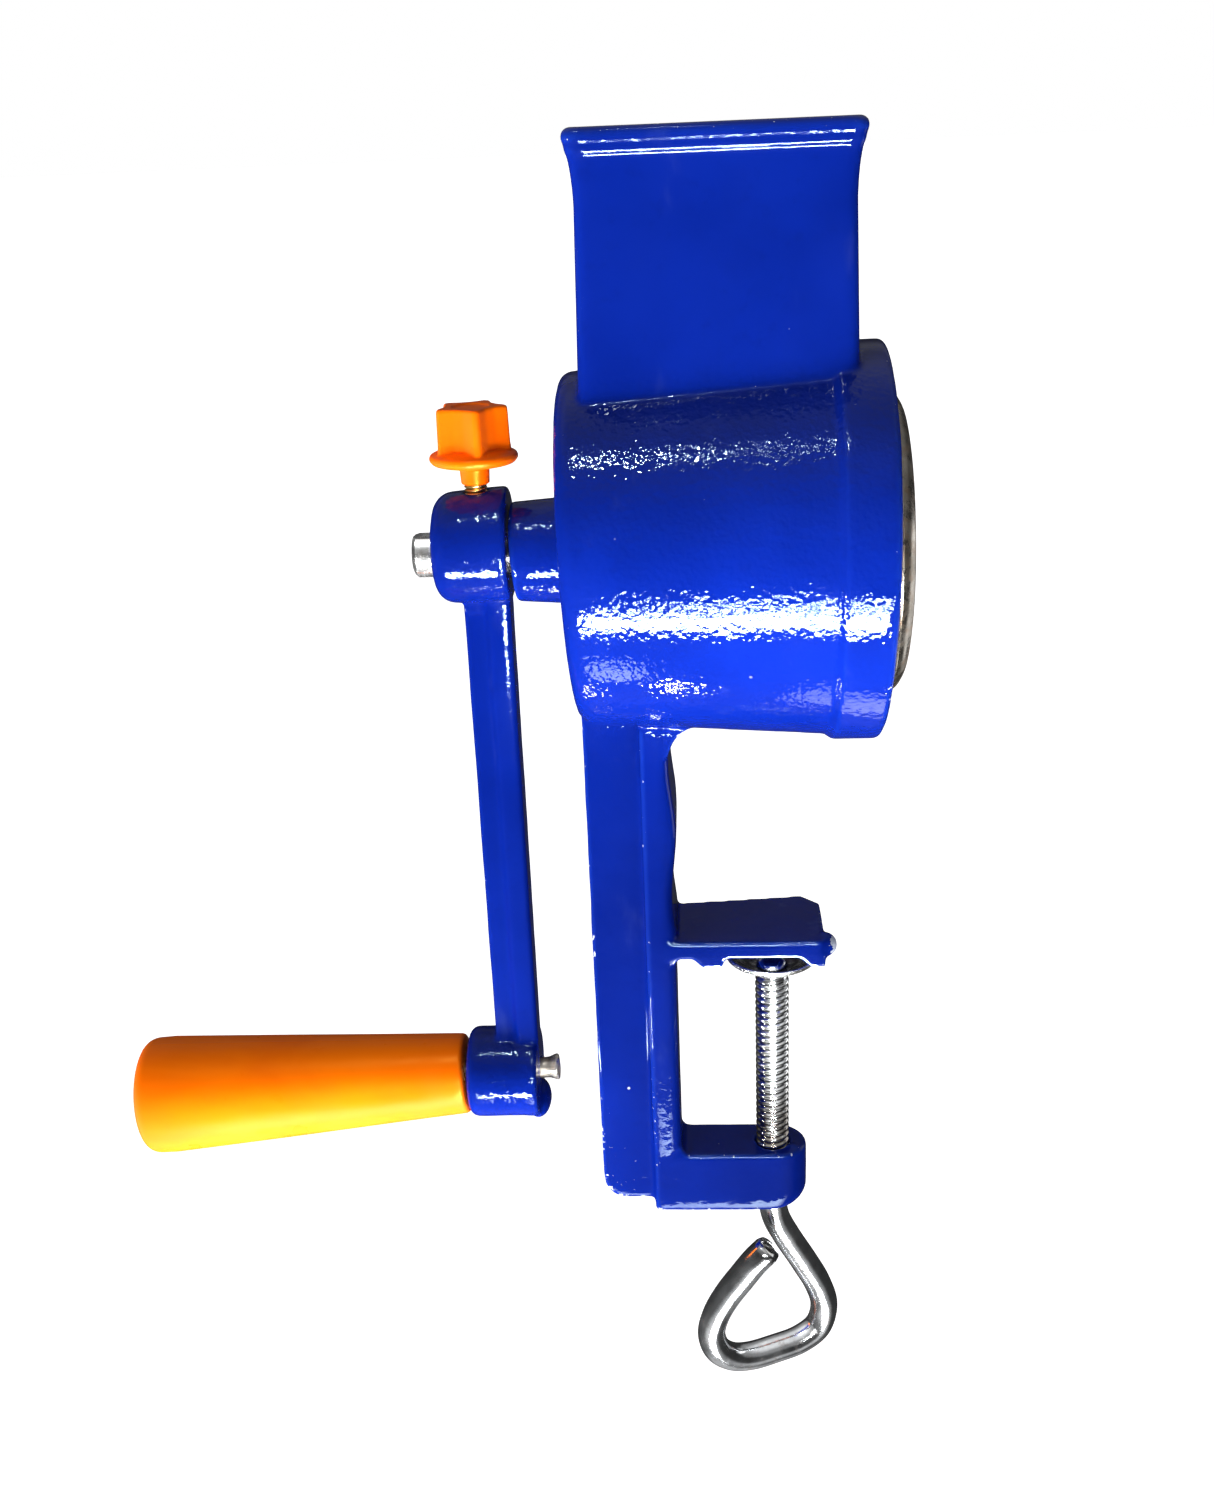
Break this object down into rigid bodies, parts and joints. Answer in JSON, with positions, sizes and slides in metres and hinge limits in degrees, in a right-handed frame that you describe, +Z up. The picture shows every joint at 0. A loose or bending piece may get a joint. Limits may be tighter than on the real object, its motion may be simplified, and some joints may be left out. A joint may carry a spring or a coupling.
{
  "type": "rotary cheese grater",
  "caption": "Table-clamped rotary grater: hopper over a drum housing, grating drum turned by a hanging crank with a tapered grip, and a screw clamp below.",
  "frame": {"origin": "where the clamp screw's axis meets the plane of the jaw's seat ribs, which is the plane of the table top", "axes": "+X along the drum's axis towards its open mouth, +Z up along the clamp screw, the user stands on the -Y side"},
  "size_m": [0.1807, 0.0832, 0.3011],
  "materials": {
    "blue_enamel": "thick glossy enamel over a cast surface",
    "orange_plastic": "smooth moulded",
    "zinc_plated_steel": "bright zinc plating",
    "drum_steel": "tinned sheet steel"
  },
  "bodies": {
    "frame": {"body_casting": "blue_enamel"},
    "crank": {"crank_arm": "blue_enamel", "grip_pin": "drum_steel", "grip_pin_washer": "zinc_plated_steel"},
    "grip": {"handle_grip": "orange_plastic"},
    "drum": {"drum_shaft": "zinc_plated_steel", "drum_sleeve": "drum_steel", "drum_end_ring": "drum_steel", "drum_back_plate": "drum_steel", "drum_hub": "drum_steel", "drum_hub_pin": "zinc_plated_steel", "thrust_washer": "zinc_plated_steel", "drum_rivet_1": "drum_steel", "drum_rivet_2": "drum_steel", "drum_rivet_3": "drum_steel"},
    "thumb_stud": {"thumb_screw_stud": "zinc_plated_steel"},
    "thumb_knob": {"thumb_screw_knob": "orange_plastic"},
    "pad": {"clamp_pad": "zinc_plated_steel"},
    "spindle": {"clamp_screw": "zinc_plated_steel"}
  },
  "joints": [
    {"name": "crank_turn", "type": "hinge", "parent": "frame", "child": "crank", "pos_m": [0, 0, 0.0952], "axis": [1, 0, 0], "continuous": true},
    {"name": "grip_turn", "type": "hinge", "parent": "crank", "child": "grip", "pos_m": [-0.0646, 0, -0.0336], "axis": [0.9976, 0, 0.0698], "continuous": true},
    {"name": "drum_slide", "type": "slide", "parent": "crank", "child": "drum", "axis": [1, 0, 0], "range_m": [0, 0.105]},
    {"name": "thumb_slide", "type": "slide", "parent": "crank", "child": "thumb_stud", "axis": [0, 0, 1], "range_m": [0, 0.0064]},
    {"name": "thumb_turn", "type": "hinge", "parent": "thumb_stud", "child": "thumb_knob", "pos_m": [-0.0618, 0, 0.12], "axis": [0, 0, 1], "range_deg": [-10, 2890]},
    {"name": "pad_slide", "type": "slide", "parent": "frame", "child": "pad", "axis": [0, 0, 1], "range_m": [-0.04501, 0.00151]},
    {"name": "spindle_turn", "type": "hinge", "parent": "pad", "child": "spindle", "pos_m": [0, 0, -0.0625], "axis": [0, 0, 1], "range_deg": [-9257.1, 308.6]}
  ],
  "couplings": [
    {"joint": "thumb_turn", "follows": "thumb_slide", "rad_per_m": 7854},
    {"joint": "pad_slide", "follows": "spindle_turn", "m_per_rad": 0.00027852}
  ]
}
